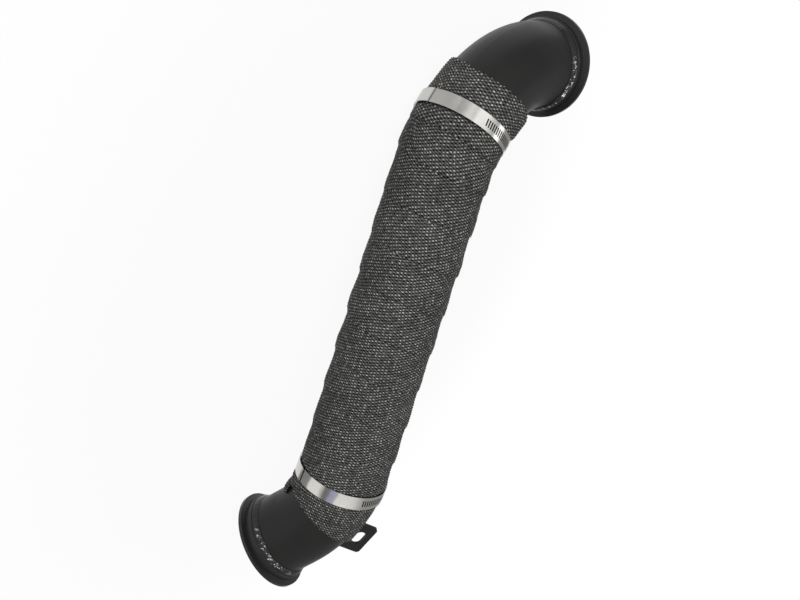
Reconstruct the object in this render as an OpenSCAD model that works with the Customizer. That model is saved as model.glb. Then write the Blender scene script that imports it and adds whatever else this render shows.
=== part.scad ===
// Turbo downpipe: a bent steel tube with a V-band flange welded to each end,
// a slotted bracket, and a wound heat wrap held by two worm-drive clamps.
// It lies as it comes to rest, with its length along X and the floor at Z = 0.

/* [Tube] */
// Outside diameter of the tube
tube_d = 76.2; // [50.8:0.1:88.9]
// Wall of the tube
wall = 1.6; // [1.2:0.1:3]
// How much a bend's wall is thinned on each face
bend_thinning = 0.05; // [0.02:0.01:0.2]
// Centreline radius of both bends
bend_radius = 114.3; // [95:0.1:180]
// Straight length from the outlet flange's face to the first bend
outlet_straight = 34; // [22:1:80]
// Angle of the first bend
first_bend = 40; // [20:1:60]
// Straight length between the bends
middle_straight = 288; // [180:1:420]
// Turn of the second bend's plane about the tube
bend_clock = -116; // [-180:1:180]
// Angle of the second bend
second_bend = 79; // [45:1:95]
// Straight length from the second bend to the inlet flange's face
inlet_straight = 15; // [13:0.5:60]
// Length of tube that stands out past the inlet flange's face
spigot = 12.7; // [3:0.1:25]
// How far the spigot is turned down
spigot_relief = 0.5; // [0.4:0.05:0.8]

/* [Flanges] */
// Height of the clamping rim beyond the hub
rim_height = 4.8; // [2:0.1:8]
// Width of the rim's outer edge
rim_width = 3.6; // [2:0.1:6]
// Slope of the rim's back, from square to the tube
rim_slope = 15; // [5:1:25]
// Thickness of the hub around the tube
hub_wall = 3.9; // [2.5:0.1:6]
// Length of the hub from the flange's face
hub_length = 11.6; // [8:0.1:13]
// Depth of the outlet flange's lip that the tube's end seats on
lip = 2; // [1:0.1:4]
// Chamfer on the flange's corners
flange_chamfer = 0.5; // [0.2:0.1:1]
// Room between the tube and a flange's bore
flange_fit = 0.1; // [0.05:0.05:0.3]

/* [Welds] */
// Length of a flange weld along the tube
weld_length = 5.8; // [3:0.1:8]
// Ripples in a flange weld
weld_ripples = 40; // [24:1:44]
// Height of the ripples
weld_ripple = 0.35; // [0.1:0.05:0.6]
// Radius of the bracket's weld beads
bead_radius = 2.4; // [1.6:0.1:3.2]
// Room under a weld bead
weld_fit = 0.08; // [0.05:0.01:0.2]

/* [Bracket] */
// Distance along the pipe to the bracket's middle
bracket_at = 48.5; // [40:0.5:70]
// Bracket's place round the pipe, from the first bend's inside
bracket_clock = 209; // [150:1:260]
// Lean of the bracket along the pipe
bracket_lean = -14; // [-18:1:10]
// Length of the bracket along the pipe
bracket_length = 36.8; // [26:0.1:38]
// Height of the bracket above the tube
bracket_height = 30.2; // [27:0.1:45]
// Thickness of the bracket
bracket_thickness = 3; // [2:0.5:5]
// Radius of the bracket's outer corners
bracket_corner = 3.5; // [1:0.5:6]
// Width of the bracket's slot
slot_width = 9.6; // [6:0.1:11]
// Length of the bracket's slot
slot_length = 17.6; // [12:0.1:20]
// Height of the slot's centre line above the tube
slot_height = 18.8; // [15:0.1:20]
// Room between the bracket's foot and the tube
bracket_fit = 0.1; // [0.05:0.05:0.3]
// Room between the bracket and the wrap
bracket_relief = 0.6; // [0.4:0.1:1.5]

/* [Wrap] */
// Thickness of the wrap's tape
tape = 2.6; // [1.6:0.1:3.2]
// Distance along the pipe to the tape's cut end
wrap_start = 59; // [50:1:90]
// Place of the tape's cut end round the pipe
wrap_clock = 26; // [0:1:360]
// Distance that the first turn climbs
first_climb = 20; // [12:1:30]
// Distance that every later turn climbs
wrap_pitch = 36.9; // [30:0.1:45]
// Distance from the inlet flange's face to the wrap's end
wrap_margin = 103.4; // [90:0.1:140]
// Room between the tube and the wrap
wrap_fit = 0.3; // [0.3:0.05:0.5]

/* [Clamps] */
// Width of a clamp's band
band_width = 12.7; // [9:0.1:14]
// Thickness of a band
band = 0.7; // [0.5:0.1:1]
// Room between the pinched wrap and a band
band_fit = 0.35; // [0.3:0.05:0.5]
// Height of the wrap under a band over the wrap's lowest turns
pinched_rise = 0.9; // [0:0.1:1]
// Distance along the pipe to the lower clamp
lower_clamp_at = 105.5; // [95:0.5:140]
// Distance from the inlet flange's face to the upper clamp
upper_clamp_from_inlet = 128; // [118:0.5:170]
// Place of a lower clamp's housing round the pipe
lower_housing_clock = 245; // [0:1:360]
// Place of the upper clamp's housing round the pipe
upper_housing_clock = 250; // [0:1:360]
// Arc from the lower housing to the first slot of its band
lower_slot_arc = 250; // [150:1:290]
// Arc from the upper housing to the first slot of its band
upper_slot_arc = 232; // [150:1:290]
// Arc by which a band's tail runs on past its housing
tail_arc = 159; // [60:1:170]
// Plain arc at the end of a tail
tail_plain = 38; // [15:1:60]
// Angle from one slot in a band to the next
band_slot_step = 3.4; // [3:0.1:5]
// Width of a slot in a band
band_slot_width = 1.3; // [0.8:0.1:1.6]
// Length of a slot in a band
band_slot_length = 6.2; // [4:0.1:8]
// Slant of the slots in a band
band_slot_slant = 8; // [0:1:15]
// Length of a clamp's housing
housing_length = 15; // [12:0.5:18]
// Thickness of a housing's sheet
housing_sheet = 0.9; // [0.6:0.1:1.2]
// Thickness of the saddle under a band
saddle_sheet = 0.6; // [0.4:0.1:0.8]
// Radius of a clamp's screw
screw_radius = 3.9; // [3:0.1:4.5]
// Width across the flats of a screw's head
screw_head = 8; // [6:0.5:9]
// Length of a screw's head
screw_head_length = 4.2; // [3:0.1:6]
// Room between the pieces of a clamp
clamp_fit = 0.12; // [0.08:0.01:0.2]

/* [Rest] */
// Turn of the pipe about X as it lies on the floor
rest_x = 33.17; // [-180:0.01:180]
// Turn of the pipe about Y as it lies on the floor
rest_y = 51.06; // [-180:0.01:180]
// Turn of the pipe about Z as it lies on the floor
rest_z = -143.21; // [-180:0.01:180]

/* [Hidden] */
$fn = 96;

tube_r = tube_d / 2;
bore_r = tube_r - wall;
hub_r = tube_r + hub_wall;
rim_r = hub_r + rim_height;
rim_back = rim_width + rim_height * tan(rim_slope);
// How far a straight's full wall runs into the thinned bend next to it
run_in = 0.5;

// Distances along the centreline, from the outlet flange's face
first_start = outlet_straight;
first_end = first_start + bend_radius * first_bend * PI / 180;
second_start = first_end + middle_straight;
second_end = second_start + bend_radius * second_bend * PI / 180;
inlet_face = second_end + inlet_straight;
pipe_end = inlet_face + spigot;
wrap_end = inlet_face - wrap_margin;
upper_clamp_at = inlet_face - upper_clamp_from_inlet;

// Poses as matrices: Z runs along the pipe and X points into the coming bend
function move(v) = [[1, 0, 0, v[0]], [0, 1, 0, v[1]], [0, 0, 1, v[2]], [0, 0, 0, 1]];
function turn_x(a) = [[1, 0, 0, 0], [0, cos(a), -sin(a), 0], [0, sin(a), cos(a), 0], [0, 0, 0, 1]];
function turn_y(a) = [[cos(a), 0, sin(a), 0], [0, 1, 0, 0], [-sin(a), 0, cos(a), 0], [0, 0, 0, 1]];
function turn_z(a) = [[cos(a), -sin(a), 0, 0], [sin(a), cos(a), 0, 0], [0, 0, 1, 0], [0, 0, 0, 1]];
function bent(a) = move([bend_radius, 0, 0]) * turn_y(a) * move([-bend_radius, 0, 0]);
function arc_angle(d) = d / bend_radius * 180 / PI;

first_end_pose = move([0, 0, first_start]) * bent(first_bend);
second_start_pose = first_end_pose * move([0, 0, middle_straight]) * turn_z(bend_clock);
second_end_pose = second_start_pose * bent(second_bend);

function pose(s) =
    s < first_start ? move([0, 0, s]) :
    s < first_end ? move([0, 0, first_start]) * bent(arc_angle(s - first_start)) :
    s < second_start ? first_end_pose * move([0, 0, s - first_end]) :
    s < second_end ? second_start_pose * bent(arc_angle(s - second_start)) :
    second_end_pose * move([0, 0, s - second_end]);

// The same pose without the turn between the bends, so that angles run on along the pipe
function level(s) = pose(s) * turn_z(s < second_start ? 0 : -bend_clock);
function around(s, a, r) = level(s) * [r * cos(a), r * sin(a), 0, 1];
function xyz(v) = [v[0], v[1], v[2]];

// Clamps: the wrap under a band, the band's two layers and the screw above them
base_r = tube_r + wrap_fit + tape;
pinched_r = base_r + pinched_rise;
band_r = pinched_r + band_fit;
layer = band + clamp_fit / 2;
outer_r = band_r + layer;
screw_r = outer_r + band + clamp_fit + screw_radius;
saddle_r = band_r - clamp_fit - saddle_sheet;
housing_arc = housing_length / outer_r * 180 / PI;
housing_half = band_width / 2 + clamp_fit;
climb_arc = 25;
climb_end = 360 - housing_arc / 2 - 2;
climb_start = climb_end - climb_arc;
climb_ease = 0.01;
climb_shift = layer * (2 * band_r + layer) / (2 * (band_r - (band_r + layer) * cos(climb_arc)));
pinch_half = band_width / 2 + 5.5;
pinch_fade = 7;

// Wrap: columns round the pipe, rows up each turn from its exposed edge
columns = 40;
row_up = [0, 0.024, 0.14, 0.27, 0.41, 0.57, 0.73, 0.9];
row_lift = [0, 0.9, 1, 0.98, 0.78, 0.38, 0.12, 0];
rows = len(row_up);
edge_end = wrap_end - 28;
last_column = floor(columns * (1 + (edge_end - wrap_start - first_climb) / wrap_pitch));
inner_r = (tube_r + wrap_fit) / cos(180 / columns);
inner_step = 12;
inner_first = wrap_start + first_climb + 7;
inner_rings = ceil((wrap_end - inner_first) / inner_step);

function edge(n) = wrap_start + (n < 1 ? first_climb * n * n : first_climb + wrap_pitch * (n - 1));
function row_at(q, p) = min(
    edge(q / columns) + row_up[p] * (edge(q / columns + 1) - edge(q / columns)),
    wrap_end - 1.2 * (rows - p));
function column_angle(q) = wrap_clock - 360 * q / columns;

// Height of the pinched wrap under the clamp at distance c with its housing at angle h
function apart(a, b) = abs(((a - b) % 360 + 540) % 360 - 180);
saddle_depth = band_fit + saddle_sheet + clamp_fit - 0.15;
function saddle_dip(a, h) = apart(a, h) < housing_arc / 2 + 14 ? saddle_depth : 0;

// Way along the wrap from a clamp at distance c, in a bend whose inside is at angle i
function surface_off(s, a, c, i) = abs(s - c) * (1 - base_r / bend_radius * cos(a - i));
function pinch_limit(s, a, c, h, i) =
    let (off = surface_off(s, a, c, i))
    pinched_r - (off < pinch_half + 4 ? saddle_dip(a, h) : 0)
    + max(0, off - pinch_half) * tape / pinch_fade;
function wrap_limit(s, a) = min(
    pinch_limit(s, a, lower_clamp_at, lower_housing_clock, 0),
    pinch_limit(s, a, upper_clamp_at, upper_housing_clock, bend_clock));
function wrap_radius(q, p) = q < columns ? base_r : base_r + tape * row_lift[p];
function wrap_point(q, p) =
    let (s = row_at(q, p), a = column_angle(q))
    xyz(around(s, a, q < columns && p == 0 ? inner_r : min(wrap_radius(q, p), wrap_limit(s, a))));

wrap_outside = [for (q = [0:last_column]) for (p = [0:rows - 1]) wrap_point(q, p)];
wrap_rim = [for (j = [0:columns - 1]) xyz(around(wrap_end, column_angle(j), base_r + 0.2 * tape))];
wrap_foot = [xyz(around(edge(1), wrap_clock, inner_r))];
wrap_mid = [for (j = [0:columns - 1])
    xyz(around((edge(j / columns) + inner_first) / 2, column_angle(j), inner_r))];
wrap_inside = [for (i = [0:inner_rings]) for (j = [0:columns - 1])
    xyz(around(inner_first + (wrap_end - inner_first) * i / inner_rings, column_angle(j), inner_r))];
wrap_points = concat(wrap_outside, wrap_rim, wrap_foot, wrap_mid, wrap_inside);

rim_from = (last_column + 1) * rows;
foot_at = rim_from + columns;
mid_from = foot_at + 1;
inside_from = mid_from + columns;
function out(q, p) = q * rows + p;
function rim(q) = rim_from + q % columns;
function mid(j) = mid_from + j % columns;
function inside(i, j) = inside_from + i * columns + j % columns;
function fan(v) = [for (i = [1:len(v) - 2]) [v[0], v[i], v[i + 1]]];
function flat_list(v) = [for (a = v) for (b = a) b];

wrap_faces = flat_list(concat(
    // Each turn's own face, from its edge to the next turn's foot
    [for (q = [0:last_column - 1]) for (p = [0:rows - 2]) if (!(q == columns - 1 && p == 0))
        fan([out(q, p), out(q + 1, p), out(q + 1, p + 1), out(q, p + 1)])],
    [fan([out(columns - 1, 0), foot_at, out(columns, 1), out(columns - 1, 1)])],
    [for (q = [0:last_column - columns - 1])
        fan([out(q, rows - 1), out(q + 1, rows - 1), out(q + 1 + columns, 0), out(q + columns, 0)])],
    // From the last turn to the wrap's end
    [for (q = [last_column - columns + 1:last_column - 1])
        fan([out(q, rows - 1), out(q + 1, rows - 1), rim(q + 1), rim(q)])],
    [fan(concat([rim(last_column + 1), rim(last_column)],
        [for (p = [rows - 1:-1:0]) out(last_column, p)],
        [out(last_column - columns, rows - 1), out(last_column - columns + 1, rows - 1)]))],
    // The tape's cut end
    [fan(concat([mid(0)], [for (p = [0:rows - 1]) out(0, p)], [out(columns, 0), out(columns, 1), foot_at]))],
    // The inside, against the tube
    [for (j = [0:columns - 2]) fan([out(j + 1, 0), out(j, 0), mid(j), mid(j + 1)])],
    [fan([mid(1), mid(0), foot_at, inside(0, 0), inside(0, 1)])],
    [for (j = [1:columns - 2]) fan([mid(j + 1), mid(j), inside(0, j), inside(0, j + 1)])],
    [fan([mid(columns - 1), inside(0, columns - 1), inside(0, 0), foot_at, out(columns - 1, 0)])],
    [for (i = [0:inner_rings - 1]) for (j = [0:columns - 1])
        fan([inside(i, j + 1), inside(i, j), inside(i + 1, j), inside(i + 1, j + 1)])],
    // The end face
    [for (j = [0:columns - 1]) fan([rim(j), rim(j + 1), inside(inner_rings, j + 1), inside(inner_rings, j)])]));

// Weld bead round the tube: a closed section of seven points at every station
weld_stations = 3 * weld_ripples;
weld_foot = tube_r + weld_fit;
weld_top = hub_wall - 0.5;
function ripple(i, shift) = weld_ripple * [0, 1, 0.7][(i + shift) % 3];
function weld_section(i) = [
    [weld_foot, weld_fit],
    [weld_foot, weld_length],
    [weld_foot + 0.45 * weld_top + ripple(i, 0), 0.86 * weld_length],
    [weld_foot + 0.5 * weld_top, 0.56 * weld_length],
    [weld_foot + 0.84 * weld_top, 0.48 * weld_length + ripple(i, 1)],
    [weld_foot + weld_top, 0.22 * weld_length + ripple(i, 1)],
    [weld_foot + weld_top, weld_fit]];
weld_points = [for (i = [0:weld_stations - 1]) for (v = weld_section(i))
    [v[0] * cos(360 * i / weld_stations), v[0] * sin(360 * i / weld_stations), v[1]]];
weld_faces = flat_list([for (i = [0:weld_stations - 1]) for (k = [0:6])
    let (n = (i + 1) % weld_stations, m = (k + 1) % 7)
    fan([i * 7 + k, i * 7 + m, n * 7 + m, n * 7 + k])]);

// The floor, found from what can reach lowest or stand out farthest
rest = turn_z(rest_z) * turn_y(rest_y) * turn_x(rest_x);
function ring_reach(m, r, k, side) = m[k][3] + side * r * sqrt(max(0, 1 - m[k][2] * m[k][2]));
rings = [[rest * pose(0), rim_r - flange_chamfer], [rest * pose(flange_chamfer), rim_r],
    [rest * pose(rim_width), rim_r],
    [rest * pose(inlet_face), rim_r - flange_chamfer], [rest * pose(inlet_face - flange_chamfer), rim_r],
    [rest * pose(inlet_face - rim_width), rim_r], [rest * pose(pipe_end), tube_r],
    for (c = [lower_clamp_at, upper_clamp_at]) for (z = [-1, 1])
        [rest * level(c) * move([0, 0, z * band_width / 2]), outer_r + band],
    for (a = [0:0.05:1]) [rest * pose(second_start + a * (pipe_end - second_start)), tube_r],
    for (a = [0:0.05:1]) [rest * pose(first_end * a), tube_r]];
corners = [for (c = [[lower_clamp_at, lower_housing_clock], [upper_clamp_at, upper_housing_clock]])
    for (y = [-1, 1])
    [rest * level(c[0]) * turn_z(c[1]) * move([screw_r, y * housing_length / 2, 0]) * turn_x(90),
        screw_radius + 2 * clamp_fit + housing_sheet]];
plate = [for (z = [-1, 1]) for (y = [-1, 1])
    [rest * bracket_pose() * move([tube_r + bracket_height - bracket_corner, y * bracket_thickness / 2,
        z * (bracket_length / 2 - bracket_corner)]) * turn_x(90), bracket_corner]];
wrap_reach = [for (p = wrap_outside) rest * [p[0], p[1], p[2], 1]];
function low(k) = min(concat([for (g = concat(rings, corners, plate)) ring_reach(g[0], g[1], k, -1)],
    [for (p = wrap_reach) p[k]]));
function high(k) = max(concat([for (g = concat(rings, corners, plate)) ring_reach(g[0], g[1], k, 1)],
    [for (p = wrap_reach) p[k]]));
placed = move([-(low(0) + high(0)) / 2, -(low(1) + high(1)) / 2, -low(2)]) * rest;

// The bracket's foot stops short of the wrap's first edge
foot_end = edge(((wrap_clock - bracket_clock) % 360 + 360) % 360 / 360) - 1.5;
function bracket_pose() = level(bracket_at) * turn_z(bracket_clock) * turn_y(bracket_lean);

// Sweeps a section, with its X away from the bend's centre, from one angle of a bend to another
module bend_sweep(from, to) {
    translate([bend_radius, 0, 0])
        rotate([90, 0, 180])
            rotate([0, 0, from])
                rotate_extrude(angle = to - from)
                    translate([bend_radius, 0])
                        children();
}

// A round bend of the given radius, from the origin along Z towards X
module bend_of(r, from, to) {
    bend_sweep(from, to)
        circle(r = r);
}

module straight_tube(from, to, r = tube_r) {
    translate([0, 0, from])
        difference() {
            cylinder(r = r, h = to - from);
            translate([0, 0, -1])
                cylinder(r = bore_r, h = to - from + 2);
        }
}

module bent_tube(a) {
    difference() {
        bend_of(tube_r - bend_thinning, 0, a);
        bend_of(bore_r + bend_thinning, -2, a + 2);
    }
}

// Moves what follows to the far end of a bend
module past_bend(a) {
    translate([bend_radius, 0, 0])
        rotate([0, a, 0])
            translate([-bend_radius, 0, 0])
                children();
}

module tube() {
    color("#2f2f2d")
        multmatrix(placed) {
            straight_tube(lip, outlet_straight + run_in);
            translate([0, 0, outlet_straight]) {
                bent_tube(first_bend);
                past_bend(first_bend) {
                    straight_tube(-run_in, middle_straight + run_in);
                    translate([0, 0, middle_straight])
                        rotate([0, 0, bend_clock]) {
                            bent_tube(second_bend);
                            past_bend(second_bend) {
                                straight_tube(-run_in, inlet_straight);
                                straight_tube(inlet_straight - run_in, inlet_straight + spigot,
                                    tube_r - spigot_relief);
                            }
                        }
                }
            }
        }
}

// Half section of a flange, from its face at z = 0 back over the hub
module flange_section(mouth_r, seat) {
    polygon([
        [mouth_r, 0],
        [rim_r - flange_chamfer, 0],
        [rim_r, flange_chamfer],
        [rim_r, rim_width],
        [hub_r, rim_back],
        [hub_r, hub_length - flange_chamfer],
        [hub_r - flange_chamfer, hub_length],
        [tube_r + flange_fit, hub_length],
        [tube_r + flange_fit, seat],
        [mouth_r, seat]]);
}

module outlet_flange() {
    color("#343432")
        multmatrix(placed)
            rotate_extrude()
                flange_section(bore_r, lip);
}

module inlet_flange() {
    color("#343432")
        multmatrix(placed * pose(inlet_face))
            mirror([0, 0, 1])
                rotate_extrude()
                    polygon([
                        [tube_r + flange_fit, 0],
                        [rim_r - flange_chamfer, 0],
                        [rim_r, flange_chamfer],
                        [rim_r, rim_width],
                        [hub_r, rim_back],
                        [hub_r, hub_length - flange_chamfer],
                        [hub_r - flange_chamfer, hub_length],
                        [tube_r + flange_fit, hub_length]]);
}

module weld_ring() {
    polyhedron(points = weld_points, faces = weld_faces);
}

module outlet_weld() {
    color("#2a2a29")
        multmatrix(placed * move([0, 0, hub_length]))
            weld_ring();
}

module inlet_weld() {
    color("#2a2a29")
        multmatrix(placed * pose(inlet_face - hub_length) * turn_x(180))
            weld_ring();
}

// The tube's outside round the bracket, larger by the room given
module tube_body(room) {
    cylinder(r = tube_r + room, h = outlet_straight);
    translate([0, 0, outlet_straight])
        bend_of(tube_r + room, 0, first_bend);
}

// The bracket's plate, with X away from the tube and Z along it
module bracket_plate(inset) {
    top = tube_r + bracket_height;
    half = bracket_length / 2;
    rotate([90, 0, 0])
        linear_extrude(height = bracket_thickness, center = true)
            union() {
                translate([tube_r - inset, -half])
                    square([bracket_height + inset - bracket_corner, bracket_length]);
                translate([top - bracket_corner - 1, -half + bracket_corner])
                    square([bracket_corner + 1, bracket_length - 2 * bracket_corner]);
                for (z = [-1, 1])
                    translate([top - bracket_corner, z * (half - bracket_corner)])
                        circle(r = bracket_corner);
            }
}

module bracket_slot() {
    reach = (slot_length - slot_width) / 2;
    rotate([90, 0, 0])
        linear_extrude(height = bracket_thickness + 2, center = true)
            translate([tube_r + slot_height, 0])
                union() {
                    square([slot_width, 2 * reach], center = true);
                    for (z = [-reach, reach])
                        translate([0, z])
                            circle(r = slot_width / 2);
                }
}

module bracket() {
    color("#2d2d2c")
        multmatrix(placed)
            difference() {
                multmatrix(bracket_pose())
                    difference() {
                        bracket_plate(8);
                        bracket_slot();
                    }
                tube_body(bracket_fit);
                // The wrap's first turn is tucked under the end of the plate
                translate([0, 0, outlet_straight])
                    bend_of(base_r + bracket_relief, arc_angle(foot_end - outlet_straight), first_bend);
            }
}

// A bead along each side of the bracket's foot
module bracket_weld() {
    foot_turn = asin((bracket_thickness / 2 + 0.4) / tube_r);
    lean_shift = tube_r * sin(bracket_lean);
    from = arc_angle(bracket_at - lean_shift - bracket_length / 2 - outlet_straight);
    to = arc_angle(foot_end - 0.5 - outlet_straight);
    color("#2a2a29")
        multmatrix(placed)
            difference() {
                for (side = [-1, 1])
                    translate([0, 0, outlet_straight])
                        bend_sweep(from, to)
                            rotate([0, 0, 180 - bracket_clock - side * foot_turn])
                                translate([tube_r, 0])
                                    circle(r = bead_radius);
                tube_body(weld_fit);
                multmatrix(bracket_pose())
                    translate([0, -bracket_thickness / 2 - weld_fit, -bracket_length])
                        cube([2 * tube_r, bracket_thickness + 2 * weld_fit, 2 * bracket_length]);
            }
}

module wrap() {
    color("#4a4a48")
        multmatrix(placed)
            polyhedron(points = wrap_points, faces = wrap_faces);
}

// An arc of band between two angles
module band_arc(r, from, to) {
    rotate([0, 0, from])
        rotate_extrude(angle = to - from)
            translate([r, -band_width / 2])
                square([band, band_width]);
}

module band_slots(from, to, r) {
    for (a = [from:band_slot_step:to])
        rotate([0, 0, a])
            translate([r, 0, 0])
                rotate([band_slot_slant, 0, 0])
                    translate([0, -band_slot_width / 2, -band_slot_length / 2])
                        cube([3 * band, band_slot_width, band_slot_length]);
}

// One round of band, a climb onto its own start, and the tail beyond the housing
module clamp_band(slot_arc) {
    tail_end = 360 + tail_arc;
    last_slot = tail_end - tail_plain;
    difference() {
        union() {
            band_arc(band_r, -housing_arc / 2, climb_start);
            rotate([0, 0, climb_start - 0.5])
                translate([-climb_shift, 0, 0])
                    rotate_extrude(angle = asin(outer_r * sin(climb_arc + 0.5) / (band_r + climb_shift)))
                        translate([band_r + climb_shift + climb_ease, climb_ease - band_width / 2])
                            square([band - 2 * climb_ease, band_width - 2 * climb_ease]);
            band_arc(outer_r, climb_end - 0.5, tail_end);
        }
        band_slots(slot_arc, climb_start - 1, band_r - band);
        band_slots(slot_arc + ceil((climb_start - 1 - slot_arc) / band_slot_step) * band_slot_step,
            climb_end - 1, band_r - band / 2);
        band_slots(slot_arc + ceil((climb_end - 1 - slot_arc) / band_slot_step) * band_slot_step,
            last_slot, outer_r - clamp_fit / 4);
    }
}

// Folded housing over the screw, with X away from the pipe and Y along the screw
module clamp_housing() {
    leg = band_r + band / 2;
    room = screw_radius + 2 * clamp_fit;
    rotate([90, 0, 0])
        linear_extrude(height = housing_length, center = true)
            difference() {
                union() {
                    translate([screw_r, 0])
                        circle(r = room + housing_sheet);
                    translate([leg, -housing_half - housing_sheet])
                        square([screw_r - leg - 1, 2 * (housing_half + housing_sheet)]);
                }
                translate([screw_r, 0])
                    circle(r = room);
                translate([leg - 1, -housing_half])
                    square([screw_r - leg - housing_sheet, 2 * housing_half]);
            }
}

// Saddle under the band, with an ear up each side of the housing
module clamp_saddle() {
    ear = housing_half + housing_sheet + clamp_fit;
    rotate([0, 0, -housing_arc / 2])
        rotate_extrude(angle = housing_arc)
            translate([saddle_r, -ear - saddle_sheet])
                square([saddle_sheet, 2 * (ear + saddle_sheet)]);
    for (side = [-1, 1])
        translate([saddle_r + saddle_sheet / 2, -3, side > 0 ? ear : -ear - saddle_sheet])
            cube([3.2, 6, saddle_sheet]);
}

// Worm screw with a slotted hexagon head and a collar
module clamp_screw() {
    front = housing_length / 2 + clamp_fit;
    collar = 1;
    translate([screw_r, 0, 0])
        rotate([-90, 0, 0])
            difference() {
                union() {
                    translate([0, 0, -front - 1])
                        cylinder(r = screw_radius, h = 2 * front + 1);
                    translate([0, 0, front])
                        cylinder(r = screw_head / 2 + 0.8, h = collar);
                    translate([0, 0, front + collar])
                        cylinder(r = screw_head / sqrt(3), h = screw_head_length, $fn = 6);
                }
                translate([-screw_head, -0.6, front + collar + screw_head_length - 1.8])
                    cube([2 * screw_head, 1.2, 3]);
            }
}

module at_clamp(at, clock) {
    multmatrix(placed * level(at) * turn_z(clock))
        children();
}

module lower_clamp_band() {
    color("#b9b6b0") at_clamp(lower_clamp_at, lower_housing_clock) clamp_band(lower_slot_arc);
}

module lower_clamp_housing() {
    color("#aeaba6") at_clamp(lower_clamp_at, lower_housing_clock) clamp_housing();
}

module lower_clamp_saddle() {
    color("#a5a29d") at_clamp(lower_clamp_at, lower_housing_clock) clamp_saddle();
}

module lower_clamp_screw() {
    color("#9a9894") at_clamp(lower_clamp_at, lower_housing_clock) clamp_screw();
}

module upper_clamp_band() {
    color("#b9b6b0") at_clamp(upper_clamp_at, upper_housing_clock) clamp_band(upper_slot_arc);
}

module upper_clamp_housing() {
    color("#aeaba6") at_clamp(upper_clamp_at, upper_housing_clock) clamp_housing();
}

module upper_clamp_saddle() {
    color("#a5a29d") at_clamp(upper_clamp_at, upper_housing_clock) clamp_saddle();
}

module upper_clamp_screw() {
    color("#9a9894") at_clamp(upper_clamp_at, upper_housing_clock) clamp_screw();
}

tube();
inlet_flange();
outlet_flange();
inlet_weld();
outlet_weld();
bracket();
bracket_weld();
wrap();
lower_clamp_band();
lower_clamp_housing();
lower_clamp_saddle();
lower_clamp_screw();
upper_clamp_band();
upper_clamp_housing();
upper_clamp_saddle();
upper_clamp_screw();
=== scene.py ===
"""Turbo downpipe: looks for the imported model, in metres, in the model's own frame.

The tape is wound again here as a woven strip, and the flange welds are drawn as
rippled beads. Every other piece is the CAD node itself with a finish of its own.
"""

import math

import bpy
import numpy as np
from mathutils import Euler, Matrix, Vector


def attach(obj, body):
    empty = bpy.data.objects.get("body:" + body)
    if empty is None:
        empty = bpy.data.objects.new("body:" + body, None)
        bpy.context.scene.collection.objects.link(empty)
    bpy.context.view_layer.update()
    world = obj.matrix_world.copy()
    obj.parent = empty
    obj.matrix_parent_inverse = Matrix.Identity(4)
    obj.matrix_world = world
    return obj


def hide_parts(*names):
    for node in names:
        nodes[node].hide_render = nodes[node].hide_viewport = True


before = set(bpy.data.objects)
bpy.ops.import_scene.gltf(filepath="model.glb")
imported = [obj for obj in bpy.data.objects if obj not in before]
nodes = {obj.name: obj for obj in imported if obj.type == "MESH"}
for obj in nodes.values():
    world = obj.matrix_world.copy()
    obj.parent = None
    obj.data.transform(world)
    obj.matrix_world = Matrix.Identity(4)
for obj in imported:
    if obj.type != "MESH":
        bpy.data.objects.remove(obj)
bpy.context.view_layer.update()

# the pipe's line, in millimetres and degrees as in part.scad
MM = 0.001
BEND_R = 114.3
FIRST_START = 34.0
FIRST_BEND = 40.0
MIDDLE = 288.0
BEND_CLOCK = -116.0
SECOND_BEND = 79.0
INLET_STRAIGHT = 15.0
FIRST_END = FIRST_START + BEND_R * math.radians(FIRST_BEND)
SECOND_START = FIRST_END + MIDDLE
SECOND_END = SECOND_START + BEND_R * math.radians(SECOND_BEND)
INLET_FACE = SECOND_END + INLET_STRAIGHT
REST_TURN = (33.17, 51.06, -143.21)  # about X, then Y, then Z
OUTLET_AT = (269.287, 25.9331, 39.537)  # centre of the outlet flange's face


def turn_z(degrees):
    return np.array(Matrix.Rotation(math.radians(degrees), 4, "Z"))


def moved(x, y, z):
    return np.array(Matrix.Translation((x, y, z)))


PLACED = moved(*OUTLET_AT) @ np.array(
    Euler([math.radians(a) for a in REST_TURN], "XYZ").to_matrix().to_4x4()
)


def bent(angle):
    """Frames along a bend of the pipe, at these angles in radians."""
    angle = np.asarray(angle, float)
    made = np.zeros(angle.shape + (4, 4)) + np.eye(4)
    made[..., 0, 0] = np.cos(angle)
    made[..., 2, 2] = np.cos(angle)
    made[..., 0, 2] = np.sin(angle)
    made[..., 2, 0] = -np.sin(angle)
    made[..., 0, 3] = BEND_R * (1 - np.cos(angle))
    made[..., 2, 3] = BEND_R * np.sin(angle)
    return made


def run(distance):
    """Frames along a straight of the pipe."""
    made = np.zeros(np.shape(distance) + (4, 4)) + np.eye(4)
    made[..., 2, 3] = distance
    return made


FIRST_END_POSE = PLACED @ run(FIRST_START) @ bent(math.radians(FIRST_BEND))
SECOND_START_POSE = FIRST_END_POSE @ run(MIDDLE) @ turn_z(BEND_CLOCK)
SECOND_END_POSE = SECOND_START_POSE @ bent(math.radians(SECOND_BEND))


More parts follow.
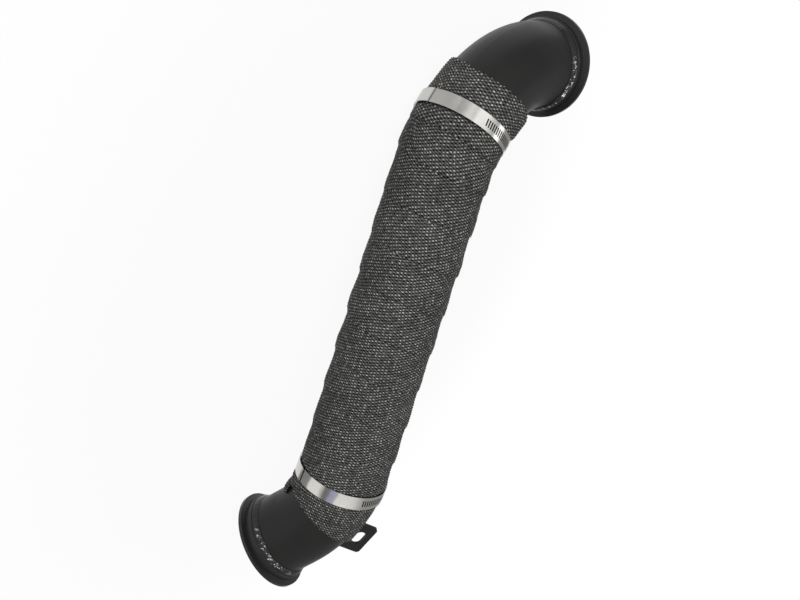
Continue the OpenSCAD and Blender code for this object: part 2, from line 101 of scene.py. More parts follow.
def level(s):
    """Frames at distances s along the pipe, without the turn between the bends."""
    s = np.asarray(s, float)
    made = np.empty(s.shape + (4, 4))
    back = turn_z(-BEND_CLOCK)
    spans = (
        (s < FIRST_START, lambda d: PLACED @ run(d)),
        ((s >= FIRST_START) & (s < FIRST_END),
         lambda d: PLACED @ run(FIRST_START) @ bent((d - FIRST_START) / BEND_R)),
        ((s >= FIRST_END) & (s < SECOND_START), lambda d: FIRST_END_POSE @ run(d - FIRST_END)),
        ((s >= SECOND_START) & (s < SECOND_END),
         lambda d: SECOND_START_POSE @ bent((d - SECOND_START) / BEND_R) @ back),
        (s >= SECOND_END, lambda d: SECOND_END_POSE @ run(d - SECOND_END) @ back),
    )
    for here, pose in spans:
        if here.any():
            made[here] = pose(s[here])
    return made


def around(s, angle, r):
    """Points at distances s, at angles in degrees round the pipe, at radii r, in metres."""
    f = level(s)
    a = np.radians(angle)[..., None]
    r = np.asarray(r, float)[..., None]
    return (f[..., :3, 3] + r * (np.cos(a) * f[..., :3, 0] + np.sin(a) * f[..., :3, 1])) * MM


# meshes
def mesh_piece(name, points, faces, key, values):
    """A piece from points and faces, with one vector kept at each point, on the one body."""
    mesh = bpy.data.meshes.new(name)
    mesh.from_pydata(np.asarray(points).tolist(), [], [tuple(map(int, face)) for face in faces])
    kept = mesh.attributes.new(key, "FLOAT_VECTOR", "POINT")
    kept.data.foreach_set("vector", np.asarray(values, np.float32).ravel())
    mesh.validate()
    mesh.update()
    mesh.shade_smooth()
    piece = bpy.data.objects.new(name, mesh)
    bpy.context.scene.collection.objects.link(piece)
    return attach(piece, "root")


def skin(ring, following):
    """Faces between rings of points and the rings that follow them."""
    return np.stack([ring, following, np.roll(following, -1, 1), np.roll(ring, -1, 1)], axis=-1)


def waves(u, v, seed, count, shortest, longest):
    """Smooth seeded unevenness of about 1, over two coordinates in millimetres."""
    draw = np.random.default_rng(seed)
    total = np.zeros(np.broadcast(u, v).shape)
    for _ in range(count):
        turn = draw.uniform(0, math.tau)
        size = draw.uniform(shortest, longest)
        start = draw.uniform(0, math.tau)
        total += np.sin((u * math.cos(turn) + v * math.sin(turn)) * math.tau / size + start)
    return total / math.sqrt(count)


# the wound tape, in millimetres and degrees
TUBE_R = 38.1
TAPE_WIDTH = 50.8
INNER_R = TUBE_R + 0.35
BASE_R = 41.0
LAP_RISE = 1.35  # how far a lap stands out, once the tape is pulled tight
TAPE_MID = 42.2
AROUND = 2 * math.pi * TAPE_MID
WRAP_START, WRAP_CLOCK, FIRST_CLIMB, PITCH = 59.0, 26.0, 20.0, 36.9
LAST_TURN_FROM, LAST_CLIMB, LAST_TURN_TO = 10.05, 20.0, 11.1
# The upper edge: level angles, and distances along the pipe
TOP_ANGLES = [0, 25, 75, 105, 132, 160, 210, 270, 330, 360]
TOP_AT = [482, 480, 471, 472, 475, 481, 486, 485, 483, 482]
PULL_EASE = 0.15  # share of a turn in which the pull to that edge sets in
RIDGES = 89  # crosswise yarns in one turn
PER_TURN = 2 * RIDGES
ROWS = 40  # lengthwise yarns across the tape
ROW_STEP = TAPE_WIDTH / ROWS
# Height of a lap, against the share of the pitch that a point lies above the tape's edge
LIFT_AT = [0, 0.024, 0.14, 0.27, 0.41, 0.57, 0.73, 0.9, 1.0]
LIFT = [0.86, 0.95, 1.0, 0.98, 0.78, 0.38, 0.12, 0.03, 0.06]
FIRST_LAP_FROM, FIRST_LAP_EASE, LAST_LAP_BEFORE = 0.93, 0.07, 0.3  # in turns
TUCKED_R = BASE_R - 0.25
# Lean of the crosswise yarns, as the tape was pulled, against distance along the pipe
LEAN_AT = [60, 100, 170, 210, 245, 318, 353, 389, 461]
LEAN = [-1, 0, 2.5, 0, 6.5, 13.5, 12, 18, 14]
YARN_WANDER, YARN_BOW = 0.75, 1.3
SWELL, UNEVEN = 0.22, 0.12
# Heights of a crosswise yarn over and under a lengthwise one, and of the groove between two
OVER, UNDER, GROOVE = 0.38, -0.28, -0.12
RELIEF_SPREAD, RELIEF_SINK = 0.25, 0.05
EDGE_DROP, EDGE_THICK, EDGE_ROUND = 0.55, 0.8, 0.2
LAYER_GAP = 0.02
LOOP, LOOP_SPREAD = 0.4, 0.3
INNER_ROW = 12  # row under which the strip's inner side has a point of its own
# Above the upper band the tape stands off on the side that the camera sees at its right
STANDOFF, STANDOFF_FROM, STANDOFF_EASE, STANDOFF_CLOCK = 2.6, 455, 9, 165

# how the clamps hold the tape
FIRST_INSIDE, SECOND_INSIDE = 0.0, BEND_CLOCK
BEND_EASE = 8
LOWER_CLAMP, LOWER_HOUSING = 105.5, 245.0
UPPER_CLAMP, UPPER_HOUSING = INLET_FACE - 128, 250.0
PINCHED_R, FREE_R = 41.9, 60.0
HELD_UP_TO = 45  # radius over which the clamps don't reach
HOUSING_LENGTH, HOUSING_R, HOUSING_SIDE = 15, 43.0, 14
HOUSING_REACH = HOUSING_LENGTH / HOUSING_R * 180 / math.pi / 2 + HOUSING_SIDE
SADDLE_HALF, SADDLE_DIP = 15.85, 0.92
# Half the held length along the pipe, and the slope beyond it
BAND_HOLD, BAND_SLOPE = 7.1, 0.75
HOUSING_HOLD, HOUSING_SLOPE = 9.35, 0.33
PRESS_DEPTH, PRESS_GAP, PRESSED_SHARE = 0.9, 0.12, 0.15
# Half length along the pipe of the painted shade under a band, and its fade
BAND_EDGE, BAND_EDGE_FADE = 6.4, 0.8


def edge(n):
    """Distance along the pipe to the tape's lower edge after n turns."""
    n = np.asarray(n, float)
    first = FIRST_CLIMB * n * n
    later = FIRST_CLIMB + PITCH * (np.minimum(n, LAST_TURN_FROM) - 1)
    return WRAP_START + np.where(n < 1, first, later) + LAST_CLIMB * np.maximum(n - LAST_TURN_FROM, 0)


def stretch(s, angle):
    """The way along the tape's surface, as a share of the way along the pipe's centreline."""
    def part(start, end, inside):
        risen = np.clip((s - start) / BEND_EASE + 0.5, 0, 1)
        fallen = np.clip((end - s) / BEND_EASE + 0.5, 0, 1)
        return risen * fallen * np.cos(np.radians(angle - inside))
    return 1 - TAPE_MID / BEND_R * (part(FIRST_START, FIRST_END, FIRST_INSIDE)
                                    + part(SECOND_START, SECOND_END, SECOND_INSIDE))


def held_to(s, angle):
    """Radius that the bands and saddles hold the tape down to."""
    limit = np.full(np.shape(s), FREE_R)
    for at, clock, inside in ((LOWER_CLAMP, LOWER_HOUSING, FIRST_INSIDE),
                              (UPPER_CLAMP, UPPER_HOUSING, SECOND_INSIDE)):
        apart = np.abs((angle - clock + 180) % 360 - 180)
        off = np.abs(s - at) * (1 - BASE_R / BEND_R * np.cos(np.radians(angle - inside)))
        under_housing = apart < HOUSING_REACH
        dip = np.where(under_housing & (off < SADDLE_HALF), SADDLE_DIP, 0.0)
        rise = np.where(under_housing, np.maximum(off - HOUSING_HOLD, 0) * HOUSING_SLOPE,
                        np.maximum(off - BAND_HOLD, 0) * BAND_SLOPE)
        limit = np.minimum(limit, PINCHED_R - dip + rise)
    return limit


def pulled_to_top(s, n):
    """The distances, with the last turn pulled to its upper edge."""
    top = np.interp((WRAP_CLOCK - 360 * n[:, -1:]) % 360, TOP_ANGLES, TOP_AT)
    last = np.clip((n[:, :1] - LAST_TURN_FROM + PULL_EASE) / PULL_EASE, 0, 1)
    share = (top - s[:, :1]) / (s[:, -1:] - s[:, :1])
    share = np.where(s[:, -1:] > top, share, 1 + (share - 1) * last)
    return s[:, :1] + (s - s[:, :1]) * share


def laid_strip(column, u, v):
    """Distance along the pipe and count of turns at each point of the strip."""
    foot = column[:, 0] / PER_TURN
    s = np.empty((len(foot), ROWS + 1))
    n = np.empty_like(s)
    s[:, 0] = edge(foot)
    n[:, 0] = foot
    slope = np.tan(np.radians(np.interp(s[:, 0], LEAN_AT, LEAN)))
    wander = YARN_WANDER * waves(u, v, seed=21, count=9, shortest=24, longest=60)
    for j in range(1, ROWS + 1):
        across = j * ROW_STEP
        bow = YARN_BOW * math.sin(math.pi * across / TAPE_WIDTH)
        n[:, j] = foot + (slope * across + bow + wander[:, j]) / AROUND
        climbed = edge(n[:, j]) - edge(n[:, j - 1])
        way = stretch(s[:, j - 1], WRAP_CLOCK - 360 * n[:, j])
        s[:, j] = s[:, j - 1] + climbed + ROW_STEP / way
    return pulled_to_top(s, n), np.clip(n, 0, None)


def tape_radius(s, n, column, row, u, v):
    """Radius of the strip's outside: laps, unevenness and yarns, held down by the clamps."""
    angle = WRAP_CLOCK - 360 * n
    below = edge(n)
    step = np.where(n < LAST_TURN_FROM - LAST_LAP_BEFORE, edge(n + 1) - below, PITCH)
    share = (s - below) / step
    lap_set_in = np.clip((n - FIRST_LAP_FROM) / FIRST_LAP_EASE, 0, 1)
    r = BASE_R + LAP_RISE * np.interp(share, LIFT_AT, LIFT) * lap_set_in
    r = r + SWELL * waves(u, v, seed=11, count=9, shortest=22, longest=70)
    r = r + UNEVEN * waves(u, v, seed=12, count=9, shortest=7, longest=16)
    off_side = np.clip(np.cos(np.radians(angle - STANDOFF_CLOCK)), 0, 1)
    r = r + STANDOFF * np.clip((s - STANDOFF_FROM) / STANDOFF_EASE, 0, 1) ** 1.5 * off_side
    over = ((column // 2 + row) % 2) == 0
    relief = np.where(column % 2 == 0, np.where(over, OVER, UNDER), GROOVE)
    relief = relief * (1 + RELIEF_SPREAD * waves(u, v, seed=13, count=7, shortest=5, longest=14))
    relief = relief - RELIEF_SINK
    limit = held_to(s, angle)
    press = np.clip((limit - r) / PRESS_DEPTH, 0.0, 1)
    free = np.where(limit < HELD_UP_TO, PRESSED_SHARE + (1 - PRESSED_SHARE) * press, 1)
    r = np.minimum(np.minimum(r, limit - PRESS_GAP) + relief * free, limit)
    r[:, 0] -= EDGE_DROP
    tucked = (share > 1.0) & (n < LAST_TURN_TO - 1)
    return np.where(tucked, TUCKED_R, r)


def cut_end(ring, flip):
    """Faces over a cut end of the strip, between its outside and the three points inside."""
    outer = ring[:ROWS + 1]
    upper, middle, lower = ring[ROWS + 1:]
    faces = [(lower, outer[k], outer[k + 1]) for k in range(INNER_ROW)]
    faces += [(lower, outer[INNER_ROW], middle)]
    faces += [(middle, outer[k], outer[k + 1]) for k in range(INNER_ROW, ROWS)]
    faces += [(middle, outer[ROWS], upper)]
    return [face[::-1] if flip else face for face in faces]


def wind_tape():
    """Points and faces of the strip, and what the weave needs to know at each point."""
    column = np.arange(int(LAST_TURN_TO * PER_TURN) + 1)[:, None]
    row = np.arange(ROWS + 1)[None, :]
    u = column * AROUND / PER_TURN
    v = row * ROW_STEP
    s, n = laid_strip(column, u, v)
    angle = WRAP_CLOCK - 360 * n
    r = tape_radius(s, n, column, row, u, v)
    # Loops of the crosswise yarns stand out along both edges
    loops = np.where(column[:, 0] % 2 == 0, LOOP, 0.0)
    spread = LOOP_SPREAD * waves(u[:, 0], 0 * u[:, 0], seed=14, count=5, shortest=4, longest=12)
    loops = loops * (1 + spread)
    s[:, 0] -= loops
    s[:, -1] += loops
    below = np.where(n[:, 0] < 1, INNER_R, BASE_R + LAYER_GAP)
    below = np.minimum(below, np.maximum(r[:, 1] - EDGE_THICK, INNER_R))
    inside = [
        around(s[:, -1], angle[:, -1], INNER_R),
        around(s[:, INNER_ROW], angle[:, INNER_ROW], INNER_R),
        around(s[:, 0] + EDGE_ROUND, angle[:, 0], below),
    ]
    section = np.concatenate([around(s, angle, r)] + [p[:, None, :] for p in inside], axis=1)
    grid = np.arange(section.shape[0] * section.shape[1]).reshape(section.shape[:2])
    faces = skin(grid[:-1], grid[1:]).reshape(-1, 4).tolist()
    faces += cut_end(grid[0], False) + cut_end(grid[-1], True)
    # The weave's column and row, and the share of painted shade under a band
    weave = np.zeros(section.shape)
    weave[:, :, 0] = column / 2
    weave[:, :ROWS + 1, 1] = row
    off_band = np.minimum(np.abs(s - LOWER_CLAMP), np.abs(s - UPPER_CLAMP))
    weave[:, :ROWS + 1, 2] = np.clip((BAND_EDGE - off_band) / BAND_EDGE_FADE, 0, 1)
    return section.reshape(-1, 3), faces, weave.reshape(-1, 3)


tape_points, tape_faces, tape_weave = wind_tape()
tape = mesh_piece("heat_wrap", tape_points, tape_faces, "weave", tape_weave)
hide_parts("wrap")


# weld beads, in millimetres
WELD_LENGTH, HUB_LENGTH, HUB_WALL = 5.8, 11.6, 3.9
BEAD_STATIONS, BEAD_POINTS = 900, 14
BEAD_STEPS = 112  # ripples round the pipe, each where the rod was dipped
STEP_LAG = 0.055
STEP_SPREAD, HEIGHT_SPREAD = (0.7, 1.5), (0.55, 1.15)
BEAD_FOOT, BEAD_CLEAR, BEAD_LIFT = 0.03, 0.02, 0.05
BEAD_INSET, BEAD_CROWN = 0.6, 0.35
WIDTH_SPREAD = 0.07  # share by which the bead is wider or narrower round the pipe
OUT_ALONG, OUT_ACROSS = 0.65, 0.75  # how a ripple's height is shared along the pipe and away from it
RIPPLE_HEIGHT, LUMP_HEIGHT = 0.5, 0.2
LUMP_AROUND, LUMP_ACROSS = 40, 6
CALM = 0.25  # share of the ripple, and of the painted glints, on the side away from the bead's clock angle


def weld_bead(name, node, at, away, seed, clock):
    """A hand-laid bead between a flange's hub and the tube, rippled most at one angle, where its colour
    gets painted glints.
    """
    turn = np.arange(BEAD_STATIONS) / BEAD_STATIONS * math.tau
    theta, k = np.meshgrid(turn, np.linspace(0, 1, BEAD_POINTS), indexing="ij")
    bulge = np.sin(math.pi * k)
    draw = np.random.default_rng(seed)
    steps = np.cumsum(draw.uniform(*STEP_SPREAD, BEAD_STEPS))
    steps = np.concatenate([[0], steps]) / steps[-1] * math.tau
    shifted = (theta + STEP_LAG * bulge) % math.tau
    which = np.searchsorted(steps, shifted, side="right") - 1
    within = (shifted - steps[which]) / (steps[which + 1] - steps[which])
    height = draw.uniform(*HEIGHT_SPREAD, BEAD_STEPS + 1)[which]
    wide = 0.5 * np.cos(theta * 3 + seed) + 0.5 * np.sin(theta * 7 + 2 * seed)
    ripple_and_glint_share = CALM + (1 - CALM) * (0.5 + 0.5 * np.cos(theta - math.radians(clock))) ** 4
    ripple = RIPPLE_HEIGHT * ripple_and_glint_share * height * np.sin(math.pi * within) ** 0.6 * bulge ** 0.7
    uneven = waves(theta * LUMP_AROUND, k * LUMP_ACROSS, seed + 5, count=12, shortest=2, longest=7)
    lumps = LUMP_HEIGHT * ripple_and_glint_share * uneven * bulge
    out = ripple + lumps + BEAD_CROWN * bulge - BEAD_CROWN
    z = WELD_LENGTH * (1 - k) * (1 + WIDTH_SPREAD * wide) + BEAD_CLEAR + out * OUT_ALONG
    r = TUBE_R + BEAD_LIFT + (HUB_WALL - BEAD_INSET) * k ** 0.85 + out * OUT_ACROSS
    r = np.maximum(r, TUBE_R + BEAD_FOOT)
    top = around(at + away * np.maximum(z, BEAD_CLEAR), np.degrees(theta), r)
    foot_at = np.full(BEAD_STATIONS, at + away * BEAD_CLEAR)
    foot = around(foot_at, np.degrees(turn), TUBE_R + BEAD_FOOT)
    section = np.concatenate([top, foot[:, None, :]], axis=1)
    grid = np.arange(section.shape[0] * section.shape[1]).reshape(section.shape[:2])
    faces = skin(grid, np.roll(grid, -1, 0))
    if away > 0:
        faces = faces[..., ::-1]
    # The share of painted glints at each point of the bead
    painted_glint_share = np.zeros(section.shape)
    painted_glint_share[:, :BEAD_POINTS, 0] = ripple_and_glint_share * bulge ** 0.5
    bead = mesh_piece(name, section.reshape(-1, 3), faces.reshape(-1, 4).tolist(),
                      "painted_glint_share", painted_glint_share.reshape(-1, 3))
    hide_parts(node)
    return bead


outlet_bead = weld_bead("outlet_weld_bead", "outlet_weld", HUB_LENGTH, 1, 3, 95)
inlet_bead = weld_bead("inlet_weld_bead", "inlet_weld", INLET_FACE - HUB_LENGTH, -1, 8, 175)


# materials
NOISE_LOW, NOISE_HIGH = 0.3, 0.7


class Nodes:
    """Short calls for building one tree of shader nodes."""

    def __init__(self, tree):
        self.tree = tree

    def link(self, value, socket):
        if isinstance(value, bpy.types.NodeSocket):
            self.tree.links.new(value, socket)
        else:
            socket.default_value = value

    def new(self, kind, **inputs):
        node = self.tree.nodes.new("ShaderNode" + kind)
        for key, value in inputs.items():
            self.link(value, node.inputs[key.replace("_", " ")])
        return node

    def fed(self, node, values):
        """The node, with these values in its inputs in order."""
        for value, socket in zip(values, node.inputs):
            self.link(value, socket)
        return node

    def math(self, operation, *values):
        node = self.new("Math")
        node.operation = operation
        return self.fed(node, values).outputs[0]

    def plus(self, first, second):
        return self.math("ADD", first, second)

    def minus(self, first, second):
        return self.math("SUBTRACT", first, second)

    def times(self, first, second):
        return self.math("MULTIPLY", first, second)

    def vector_math(self, operation, *values):
        node = self.new("VectorMath")
        node.operation = operation
        return self.fed(node, values).outputs["Value"]

    def parts(self, vector):
        return self.new("SeparateXYZ", Vector=vector).outputs

    def joined(self, *values):
        return self.fed(self.new("CombineXYZ"), values).outputs[0]

    def mix(self, share, first, second):
        """One shader over another, by a share."""
        return self.fed(self.new("MixShader"), (share, first, second)).outputs[0]

    def place(self, matrix=None, scale=(1, 1, 1)):
        """The piece's own coordinates, or those seen from a frame on it."""
        node = self.new("Mapping", Vector=self.new("TexCoord").outputs["Object"], Scale=scale)
        if matrix is not None:
            inverse = Matrix(matrix).inverted()
            node.inputs["Location"].default_value = inverse.to_translation()
            node.inputs["Rotation"].default_value = inverse.to_euler("XYZ")
        return node.outputs[0]

    def noise(self, scale, detail=4.0, rough=0.55, at=None):
        at = self.place() if at is None else at
        return self.new("TexNoise", Scale=scale, Detail=detail, Roughness=rough, Vector=at).outputs[0]

    def kept(self, name):
        """What the mesh keeps at each point under this name."""
        node = self.new("Attribute")
        node.attribute_name = name
        return node.outputs["Vector"]

    def ramp(self, value, stops):
        node = self.new("ValToRGB")
        while len(node.color_ramp.elements) < len(stops):
            node.color_ramp.elements.new(1)
        for element, (at, colour) in zip(node.color_ramp.elements, stops):
            element.position = at
            element.color = (*colour, 1)
        self.link(value, node.inputs[0])
        return node.outputs[0]

    def multiply(self, first, second):
        """One colour times another."""
        node = self.new("Mix")
        node.data_type, node.blend_type = "RGBA", "MULTIPLY"
        node.inputs["Factor"].default_value = 1.0
        self.link(first, node.inputs["A"])
        self.link(second, node.inputs["B"])
        return node.outputs["Result"]

    def range(self, value, low, high, from_low=0.0, from_high=1.0, smooth=False):
        node = self.new("MapRange")
        if smooth:
            node.interpolation_type = "SMOOTHSTEP"
        for key, number in (("From Min", from_low), ("From Max", from_high),
                            ("To Min", low), ("To Max", high)):
            node.inputs[key].default_value = number
        self.link(value, node.inputs["Value"])
        return node.outputs[0]

    def spread(self, noise, low, high):
        """The usual range of a noise, spread from low to high."""
        return self.range(noise, low, high, NOISE_LOW, NOISE_HIGH)

    def bump(self, height, distance, strength):
        return self.new("Bump", Strength=strength, Distance=distance, Height=height).outputs[0]


class Material(Nodes):
    """The nodes of one material, round its own shader."""

    def __init__(self, name):
        self.material = bpy.data.materials.new(name)
        self.material.use_nodes = True
        super().__init__(self.material.node_tree)
        self.shader = next(n for n in self.tree.nodes if n.type == "BSDF_PRINCIPLED")

    def set(self, **values):
        for key, value in values.items():
            self.link(value, self.shader.inputs[key.replace("_", " ")])
        return self.material


def clamp_frame(at, clock):
    """A frame at a clamp in metres: Z along the pipe, X at this level angle."""
    made = level(np.array([at]))[0] @ turn_z(clock)
    made[:3, 3] *= MM
    return Matrix(made.tolist())


def lighter(colour, share):
    return [c * share for c in colour]


def satin_paint(name, colour, rough, marks=0.5, shine=0.3, glints=None):
    """Black heat paint: a little uneven in gloss, with fine orange peel and scuffs."""
    m = Material(name)
    broad, fine = m.noise(14, 5), m.noise(420, 3, 0.6)
    scuff = m.noise(900, 2, 0.5, m.place(scale=(1, 0.12, 0.3)))
    worn = m.range(scuff, 0, 1, 0.66, 0.78)
    gloss = m.plus(m.spread(broad, rough - 0.05, rough + 0.07), m.times(worn, marks * 0.18))
    height = m.plus(m.times(fine, 0.6), m.times(broad, 0.8))
    # Where glints are given, painted highlights take the place of the paint's tone
    tone = glints(m) if glints else m.ramp(broad, [(0.3, colour), (0.7, lighter(colour, 1.35))])
    return m.set(Base_Color=tone, Roughness=gloss, Specular_IOR_Level=shine,
                 Normal=m.bump(height, 0.00012, 0.4))


def painted_weld_glints(m):
    """Painted highlights: small bright glints painted into the colour on black, most where the bead
    ripples most.
    """
    painted_glint_share = m.range(m.parts(m.kept("painted_glint_share"))[0], 0, 1, 0.5, 0.8)
    painted_glint_specks = m.range(m.noise(330, 3, 0.65), 0, 1, 0.54, 0.61)
    return m.ramp(m.times(painted_glint_specks, painted_glint_share), [(0.1, WELD_BLACK), (0.6, PAINTED_GLINT_EDGE), (1.0, PAINTED_GLINT)])


def steel(name, colour, rough, matrix, painted_reflections):
    """Cold-rolled stainless: fine lines along the strip and smudges, with painted reflections as soft
    bands of tone along it.
    """
    m = Material(name)
    x, y, z = m.parts(m.place(matrix))
    angle = m.math("ARCTAN2", y, x)
    lines = m.noise(1, 3, 0.6, m.joined(m.times(angle, 1.6), m.times(z, 1400)))
    clouds = m.noise(45, 3)
    smudge = m.noise(110, 2)
    turn = m.plus(m.times(angle, 0.5 / math.pi), 0.5)
    turn = m.plus(turn, m.spread(clouds, -0.006, 0.006))
    # painted reflections: lighter and darker tones by angle round the clamp, laid into the steel's colour
    painted_reflection_tone = m.ramp(turn, [(0.5 + at_angle / 360, shade) for at_angle, shade in painted_reflections])
    cloudy = m.ramp(clouds, [(0.32, lighter(colour, 0.88)), (0.62, colour)])
    gloss = m.plus(m.spread(lines, rough - 0.02, rough + 0.03),
                   m.range(smudge, 0, 0.08, 0.5, 0.75))
    return m.set(Base_Color=m.multiply(cloudy, painted_reflection_tone), Metallic=1.0, Roughness=gloss,
                 Normal=m.bump(clouds, 0.0006, 0.35))


def plain_steel(name, colour, rough):
    """Pressed or plated steel with a fine, even grain."""
    m = Material(name)
    grain, clouds = m.noise(1500, 3, 0.6), m.noise(90, 4)
    return m.set(Base_Color=m.ramp(clouds, [(0.3, lighter(colour, 0.75)), (0.65, colour)]),
                 Metallic=1.0, Roughness=m.spread(grain, rough - 0.07, rough + 0.1),
                 Normal=m.bump(grain, 0.00003, 0.4))


def oval(m, across, along, turn, wide, long):
    """A round rise of height 1 on each float, turned as the twisted yarn's fibres lie."""
    c, s = math.cos(math.radians(turn)), math.sin(math.radians(turn))
    p = m.plus(m.times(across, c / wide), m.times(along, s / wide))
    q = m.minus(m.times(along, c / long), m.times(across, s / long))
    return m.minus(1, m.plus(m.times(p, p), m.times(q, q)))


def woven_tape(name):
    """Plain weave over the strip's own relief: pale dashes of painted highlight and black holes of painted
    shade in quincunx on grey.
    """
    m = Material(name)
    x, y, painted_band_shade = m.parts(m.kept("weave"))
    ridge = m.math("ROUND", x)
    across = m.times(m.minus(x, ridge), 2)
    halved = m.times(m.plus(y, ridge), 0.5)
    float_number = m.math("ROUND", halved)
    along = m.times(m.minus(halved, float_number), 2)
    chance = m.new("TexWhiteNoise", Vector=m.joined(ridge, float_number)).outputs[0]
    fibres = m.noise(2300, 3, 0.7, m.place(scale=(1, 0.35, 0.35)))
    broad, blotch = m.noise(26, 4), m.noise(170, 3)
    shift = m.spread(m.noise(620, 2), -0.22, 0.22)
    across, along = m.plus(across, shift), m.plus(along, shift)
    # A painted highlight as a pale dash on each float, and painted shade as a black hole between two
    # floats of one yarn
    painted_dash = m.math("MAXIMUM", oval(m, across, along, *PAINTED_DASH), 0)
    between = m.times(m.minus(1, m.math("ABSOLUTE", along)), 1 / HOLE_LONG)
    beside = m.times(across, 1 / HOLE_WIDE)
    hole = m.minus(1, m.plus(m.times(between, between), m.times(beside, beside)))
    hole = m.math("MAXIMUM", hole, 0)
    lit = m.plus(m.times(painted_dash, m.range(chance, 0.16, 0.78)), TAPE_GREY)
    lit = m.minus(lit, m.times(hole, 0.75))
    lit = m.plus(lit, m.spread(fibres, -0.13, 0.13))
    lit = m.plus(lit, m.spread(blotch, -0.06, 0.06))
    # painted shade under the bands darkens the tape seen through their slots
    shade = m.times(m.spread(broad, 0.47, 0.65), m.range(painted_band_shade, 1.0, 0.18))
    rise = m.minus(m.times(m.math("MAXIMUM", oval(m, across, along, *FLOAT_RISE), -1), 0.4), hole)
    relief = m.plus(rise, m.times(fibres, 0.4))
    return m.set(Base_Color=m.multiply(m.ramp(lit, TAPE_TONES), m.joined(shade, shade, shade)),
                 Roughness=m.spread(fibres, 0.45, 0.7), Specular_IOR_Level=0.16,
                 Normal=m.bump(relief, 0.0006, 0.8))


def painted_reflection_stops(*pairs):
    """Stops for the painted reflections round a clamp, from angles and tones."""
    return [(angle, (tone, tone, tone) if isinstance(tone, float) else tone) for angle, tone in pairs]


def finish(material, *pieces):
    for piece in pieces:
        piece.data.materials.clear()
        piece.data.materials.append(material)


# colours, and sizes of the weave's painted highlights and holes
PAINT_BLACK, FLANGE_BLACK = (0.0085, 0.0085, 0.0082), (0.01, 0.01, 0.0098)
WELD_BLACK = (0.0075, 0.0075, 0.0073)
# painted highlights of the weld beads
PAINTED_GLINT_EDGE, PAINTED_GLINT = (0.20, 0.20, 0.195), (0.6, 0.6, 0.58)
BAND_STEEL, PRESSED_STEEL, SCREW_STEEL = (0.72, 0.705, 0.67), (0.62, 0.60, 0.57), (0.55, 0.54, 0.51)
PAINTED_VIOLET_REFLECTION = (0.62, 0.64, 0.86)  # a painted reflection of violet light on the lower band
# An oval's turn in degrees, and its half width and half length in shares of a float's
PAINTED_DASH, FLOAT_RISE = (38, 0.55, 0.85), (30, 1, 0.9)
HOLE_LONG, HOLE_WIDE = 0.6, 0.78
TAPE_GREY = 0.42  # place of the bare cloth on the ramp of tones
# Tones of the tape, from painted shade in the holes through the bare cloth to painted highlights on the
# dashes
TAPE_TONES = [(0.0, (0.004, 0.004, 0.004)), (0.18, (0.016, 0.016, 0.016)),
              (TAPE_GREY, (0.085, 0.085, 0.083)), (0.6, (0.15, 0.15, 0.145)),
              (0.8, (0.33, 0.33, 0.312)), (1.0, (0.6, 0.6, 0.56))]
# Painted reflections on the bands, of what they mirror: angles from the clamp's front, and tones
LOWER_PAINTED_REFLECTIONS = painted_reflection_stops((-80, 0.8), (-57, 0.85), (-54, 0.24), (-37, 0.3), (-33, 0.95), (-18, 0.9),
                       (-12, 0.4), (-6, 0.42), (-4, PAINTED_VIOLET_REFLECTION), (4, PAINTED_VIOLET_REFLECTION), (6, 1.1),
                       (28, 1.15), (40, 0.9), (65, 0.75), (120, 0.7))
UPPER_PAINTED_REFLECTIONS = painted_reflection_stops((-80, 0.7), (-57, 0.8), (-54, 0.56), (-30, 0.55), (-10, 0.66), (-4, 0.95),
                       (2, 0.8), (6, 1.1), (16, 1.2), (24, 0.9), (40, 0.8), (62, 0.7), (120, 0.6))
LOWER_FRONT, UPPER_FRONT = 95, 104

finish(satin_paint("satin_black_paint", PAINT_BLACK, 0.38, shine=0.22), nodes["tube"], nodes["bracket"])
finish(satin_paint("flange_paint", FLANGE_BLACK, 0.30, 0.9), nodes["inlet_flange"], nodes["outlet_flange"])
finish(satin_paint("weld_paint", FLANGE_BLACK, 0.15, 0.2, 0.7), nodes["bracket_weld"])
# the weld beads' colour has painted glints
finish(satin_paint("weld_painted_glints", WELD_BLACK, 0.16, 0.2, 0.35, painted_weld_glints), inlet_bead, outlet_bead)
finish(woven_tape("woven_tape"), tape)
for side, at, front, painted_reflections in (("lower", LOWER_CLAMP, LOWER_FRONT, LOWER_PAINTED_REFLECTIONS),
                                 ("upper", UPPER_CLAMP, UPPER_FRONT, UPPER_PAINTED_REFLECTIONS)):
    strip = steel(side + "_band_steel", BAND_STEEL, 0.17, clamp_frame(at, front), painted_reflections)
    finish(strip, nodes[side + "_clamp_band"])
    pressed_steel = plain_steel(side + "_pressed_steel", PRESSED_STEEL, 0.3)
    finish(pressed_steel, nodes[side + "_clamp_housing"], nodes[side + "_clamp_saddle"])
    finish(plain_steel(side + "_screw_steel", SCREW_STEEL, 0.27), nodes[side + "_clamp_screw"])


# floor, light and camera, in metres
CAMERA_AT = (-0.07928, -0.65758, 0.36988)
CAMERA_AXES = ((-0.472994, -0.874567, -0.106811),
               (0.428086, -0.122162, -0.895444),
               (0.770077, -0.469264, 0.432172))
LENS, SENSOR = 36.611, 36.0
NEAR, FAR = 0.01, 50
LIT_AT = (0, 0, 0.05)
WHITE = (1, 1, 1, 1)
FLOOR_HALF, FLOOR_COLOUR = 4.0, (0.5, 0.5, 0.5, 1)
# Share of plain white in what the camera sees of the floor, near the object and away from it
WHITE_NEAR, WHITE_AWAY, NEAR_TO, AWAY_FROM = 0.93, 1.0, 0.22, 0.5
ROOM_LIGHT = 0.27
# The panel that metal and paint mirror: its way, its light, and the cosines where it fades
PANEL_WAY = (-0.15, -0.62, 0.77)
PANEL_DIM, PANEL_BRIGHT, PANEL_FROM, PANEL_FULL = 0.42, 1.0, 0.35, 0.92


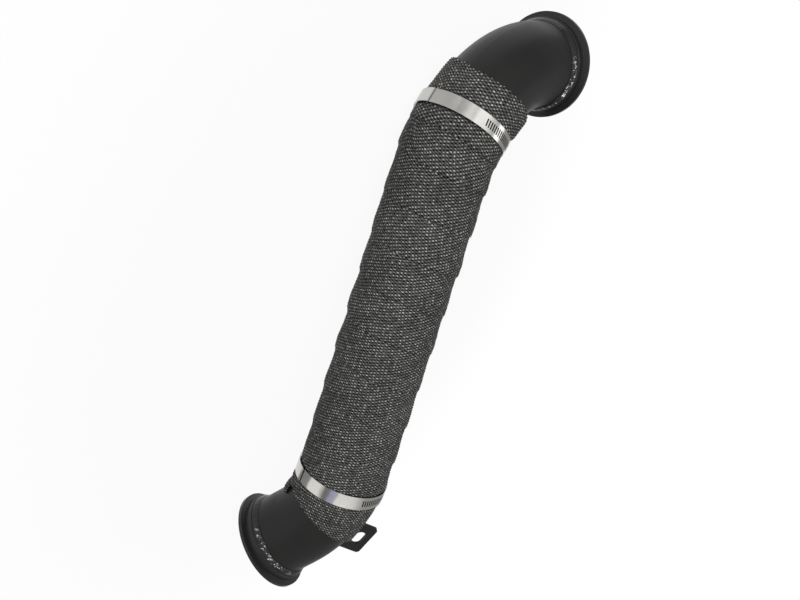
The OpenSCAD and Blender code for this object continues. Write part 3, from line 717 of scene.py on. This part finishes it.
def white_floor():
    """A pale floor that keeps a light shadow and looks white to the camera."""
    mesh = bpy.data.meshes.new("floor")
    corners = [(x * FLOOR_HALF, y * FLOOR_HALF, 0) for x, y in ((-1, -1), (1, -1), (1, 1), (-1, 1))]
    mesh.from_pydata(corners, [], [(0, 1, 2, 3)])
    floor = bpy.data.objects.new("floor", mesh)
    bpy.context.scene.collection.objects.link(floor)
    material = bpy.data.materials.new("floor_white")
    material.use_nodes = True
    material.node_tree.nodes.clear()
    m = Nodes(material.node_tree)
    pale = m.new("BsdfDiffuse", Color=FLOOR_COLOUR)
    glow = m.new("Emission", Strength=1.0)
    path = m.new("LightPath")
    # Whiter away from the object, so that no edge shows
    away = m.vector_math("LENGTH", m.new("TexCoord").outputs["Object"])
    whiter = m.range(away, WHITE_NEAR, WHITE_AWAY, NEAR_TO, AWAY_FROM, smooth=True)
    seen = m.math("MAXIMUM", path.outputs["Is Camera Ray"], path.outputs["Is Glossy Ray"])
    m.new("OutputMaterial", Surface=m.mix(m.times(seen, whiter), pale.outputs[0], glow.outputs[0]))
    mesh.materials.append(material)


def studio_world():
    """White behind the object, and a softer grey room for what lights it."""
    world = bpy.data.worlds.new("studio")
    bpy.context.scene.world = world
    world.use_nodes = True
    world.node_tree.nodes.clear()
    m = Nodes(world.node_tree)
    room = m.new("Background", Color=WHITE, Strength=ROOM_LIGHT)
    white = m.new("Background", Color=WHITE, Strength=1.0)
    # What metal and paint mirror: one broad, soft panel on the camera's side
    facing = m.vector_math("DOT_PRODUCT", m.new("TexCoord").outputs["Generated"], PANEL_WAY)
    light = m.range(facing, PANEL_DIM, PANEL_BRIGHT, PANEL_FROM, PANEL_FULL, smooth=True)
    panel = m.new("Background", Color=WHITE, Strength=light)
    path = m.new("LightPath")
    lit = m.mix(path.outputs["Is Glossy Ray"], room.outputs[0], panel.outputs[0])
    m.new("OutputWorld", Surface=m.mix(path.outputs["Is Camera Ray"], lit, white.outputs[0]))


def soft_box(name, place, width, height, power, mirrored):
    """A lamp turned to the object, which shows in what is shiny or not."""
    data = bpy.data.lights.new(name, "AREA")
    data.shape, data.size, data.size_y, data.energy = "RECTANGLE", width, height, power
    lamp = bpy.data.objects.new(name, data)
    lamp.location = place
    lamp.rotation_euler = (Vector(LIT_AT) - Vector(place)).to_track_quat("-Z", "Y").to_euler()
    lamp.visible_glossy = mirrored
    bpy.context.scene.collection.objects.link(lamp)


def photo_camera():
    """The camera that fits the photo."""
    data = bpy.data.cameras.new("camera")
    data.lens, data.sensor_width = LENS, SENSOR
    data.clip_start, data.clip_end = NEAR, FAR
    camera = bpy.data.objects.new("camera", data)
    bpy.context.scene.collection.objects.link(camera)
    camera.matrix_world = Matrix.Translation(CAMERA_AT) @ Matrix(CAMERA_AXES).to_4x4()
    bpy.context.scene.camera = camera


white_floor()
studio_world()
soft_box("key", (-0.38, -1.55, 1.05), 2.0, 1.4, 40, False)
soft_box("spark", (-0.5, -1.3, 1.35), 0.3, 0.3, 3.5, True)
soft_box("fill", (1.5, -0.4, 1.2), 0.7, 1.1, 4, False)
soft_box("top", (-0.2, 0.9, 1.6), 1.2, 0.6, 4, True)
photo_camera()
bpy.context.scene.view_settings.view_transform = "Standard"
